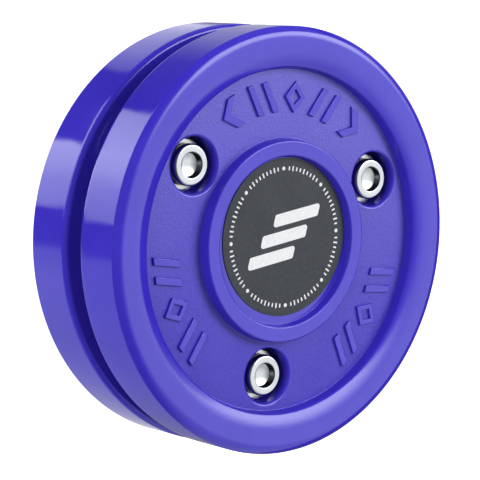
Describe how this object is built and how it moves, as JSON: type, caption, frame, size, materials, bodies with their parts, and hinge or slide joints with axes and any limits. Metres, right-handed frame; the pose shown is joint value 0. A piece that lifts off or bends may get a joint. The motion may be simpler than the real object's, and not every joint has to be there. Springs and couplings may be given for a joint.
{
  "type": "hockey puck",
  "caption": "Two-piece off-ice training puck: moulded halves loosely riveted together with steel ballast between them, a raised centre ring and a round label.",
  "frame": {"origin": "centre of the lower running face, with the puck lying flat on its rear half", "axes": "+Z along the puck's axis, out of the front half; +Y away from the rivet at 270 degrees, through the middle of the row of five raised marks; +X completes a right-handed frame"},
  "size_m": [0.0762, 0.0762, 0.0254],
  "materials": {
    "shell_plastic": "glossy",
    "label_print": "matte",
    "rivet_steel": "bright zinc plate",
    "washer_steel": "bright zinc plate",
    "ballast_steel": "plain",
    "cushion_rubber": "matte"
  },
  "bodies": {
    "rear_half": {"rear_shell": "shell_plastic", "rear_label": "label_print"},
    "front_half": {"front_shell": "shell_plastic", "front_label": "label_print"},
    "rivet_1": {"rivet_1": "rivet_steel"},
    "front_washer_1": {"front_washer_1": "washer_steel"},
    "rear_washer_1": {"rear_washer_1": "washer_steel"},
    "lower_ballast_1": {"lower_weight_1": "ballast_steel", "cushion_1": "cushion_rubber"},
    "upper_ballast_1": {"upper_weight_1": "ballast_steel"},
    "rivet_2": {"rivet_2": "rivet_steel"},
    "front_washer_2": {"front_washer_2": "washer_steel"},
    "rear_washer_2": {"rear_washer_2": "washer_steel"},
    "lower_ballast_2": {"lower_weight_2": "ballast_steel", "cushion_2": "cushion_rubber"},
    "upper_ballast_2": {"upper_weight_2": "ballast_steel"},
    "rivet_3": {"rivet_3": "rivet_steel"},
    "front_washer_3": {"front_washer_3": "washer_steel"},
    "rear_washer_3": {"rear_washer_3": "washer_steel"},
    "lower_ballast_3": {"lower_weight_3": "ballast_steel", "cushion_3": "cushion_rubber"},
    "upper_ballast_3": {"upper_weight_3": "ballast_steel"}
  },
  "joints": [
    {"name": "half_float", "type": "slide", "parent": "rear_half", "child": "front_half", "axis": [0, 0, 1], "range_m": [0, 0.0012]},
    {"name": "rivet_1_float", "type": "slide", "parent": "rear_half", "child": "rivet_1", "axis": [0, 0, 1], "range_m": [0, 0.0006]},
    {"name": "front_washer_1_spin", "type": "hinge", "parent": "front_half", "child": "front_washer_1", "pos_m": [0.02103, 0.01214, 0.0127], "axis": [0, 0, 1], "continuous": true},
    {"name": "rear_washer_1_spin", "type": "hinge", "parent": "rear_half", "child": "rear_washer_1", "pos_m": [0.02103, 0.01214, 0.0127], "axis": [0, 0, 1], "continuous": true},
    {"name": "lower_weight_1_spin", "type": "hinge", "parent": "rear_half", "child": "lower_ballast_1", "pos_m": [0.02103, 0.01214, 0.0127], "axis": [0, 0, 1], "continuous": true},
    {"name": "upper_weight_1_spin", "type": "hinge", "parent": "rear_half", "child": "upper_ballast_1", "pos_m": [0.02103, 0.01214, 0.0127], "axis": [0, 0, 1], "continuous": true},
    {"name": "rivet_2_float", "type": "slide", "parent": "rear_half", "child": "rivet_2", "axis": [0, 0, 1], "range_m": [0, 0.0006]},
    {"name": "front_washer_2_spin", "type": "hinge", "parent": "front_half", "child": "front_washer_2", "pos_m": [-0.02103, 0.01214, 0.0127], "axis": [0, 0, 1], "continuous": true},
    {"name": "rear_washer_2_spin", "type": "hinge", "parent": "rear_half", "child": "rear_washer_2", "pos_m": [-0.02103, 0.01214, 0.0127], "axis": [0, 0, 1], "continuous": true},
    {"name": "lower_weight_2_spin", "type": "hinge", "parent": "rear_half", "child": "lower_ballast_2", "pos_m": [-0.02103, 0.01214, 0.0127], "axis": [0, 0, 1], "continuous": true},
    {"name": "upper_weight_2_spin", "type": "hinge", "parent": "rear_half", "child": "upper_ballast_2", "pos_m": [-0.02103, 0.01214, 0.0127], "axis": [0, 0, 1], "continuous": true},
    {"name": "rivet_3_float", "type": "slide", "parent": "rear_half", "child": "rivet_3", "axis": [0, 0, 1], "range_m": [0, 0.0006]},
    {"name": "front_washer_3_spin", "type": "hinge", "parent": "front_half", "child": "front_washer_3", "pos_m": [0, -0.02428, 0.0127], "axis": [0, 0, 1], "continuous": true},
    {"name": "rear_washer_3_spin", "type": "hinge", "parent": "rear_half", "child": "rear_washer_3", "pos_m": [0, -0.02428, 0.0127], "axis": [0, 0, 1], "continuous": true},
    {"name": "lower_weight_3_spin", "type": "hinge", "parent": "rear_half", "child": "lower_ballast_3", "pos_m": [0, -0.02428, 0.0127], "axis": [0, 0, 1], "continuous": true},
    {"name": "upper_weight_3_spin", "type": "hinge", "parent": "rear_half", "child": "upper_ballast_3", "pos_m": [0, -0.02428, 0.0127], "axis": [0, 0, 1], "continuous": true}
  ],
  "couplings": [
    {"joint": "rivet_1_float", "follows": "half_float", "ratio": 0.5},
    {"joint": "rivet_2_float", "follows": "half_float", "ratio": 0.5},
    {"joint": "rivet_3_float", "follows": "half_float", "ratio": 0.5}
  ]
}
